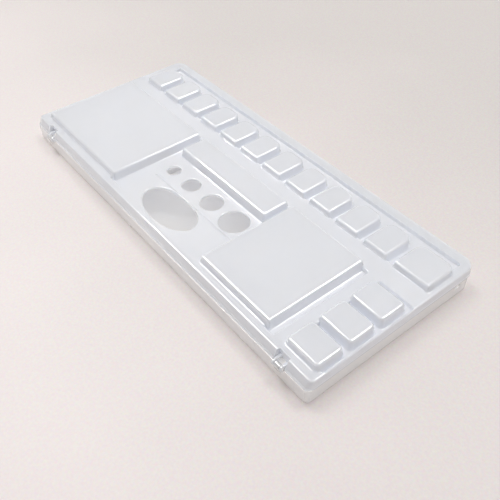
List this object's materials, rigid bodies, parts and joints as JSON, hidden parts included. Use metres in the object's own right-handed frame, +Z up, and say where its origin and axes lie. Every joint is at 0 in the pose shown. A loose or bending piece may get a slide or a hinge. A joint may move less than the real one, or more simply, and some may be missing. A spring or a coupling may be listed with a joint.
{
  "type": "mixing palette",
  "caption": "Folding plastic mixing palette, shut: a leaf of paint wells and mixing fields with thumb and brush holes, hinged over a mixing leaf.",
  "frame": {"origin": "on the table, under the centre of the shut palette's footprint", "axes": "+X along the length towards the medium wells, +Y from the hinge edge to the lip edge, +Z up"},
  "size_m": [0.24, 0.1056, 0.017],
  "materials": {
    "well_leaf": "translucent milky polypropylene, satin gloss",
    "mixing_leaf": "translucent milky polypropylene, satin gloss",
    "hinge_pin": "translucent milky plastic"
  },
  "bodies": {
    "mixing_leaf": {"mixing_leaf": "mixing_leaf"},
    "well_leaf": {"well_leaf": "well_leaf", "hinge_pin_far": "hinge_pin", "hinge_pin_near": "hinge_pin"}
  },
  "joints": [
    {"name": "leaf_fold", "type": "hinge", "parent": "mixing_leaf", "child": "well_leaf", "pos_m": [0, -0.05137, 0.0085], "axis": [1, 0, 0], "range_deg": [0, 180]}
  ]
}
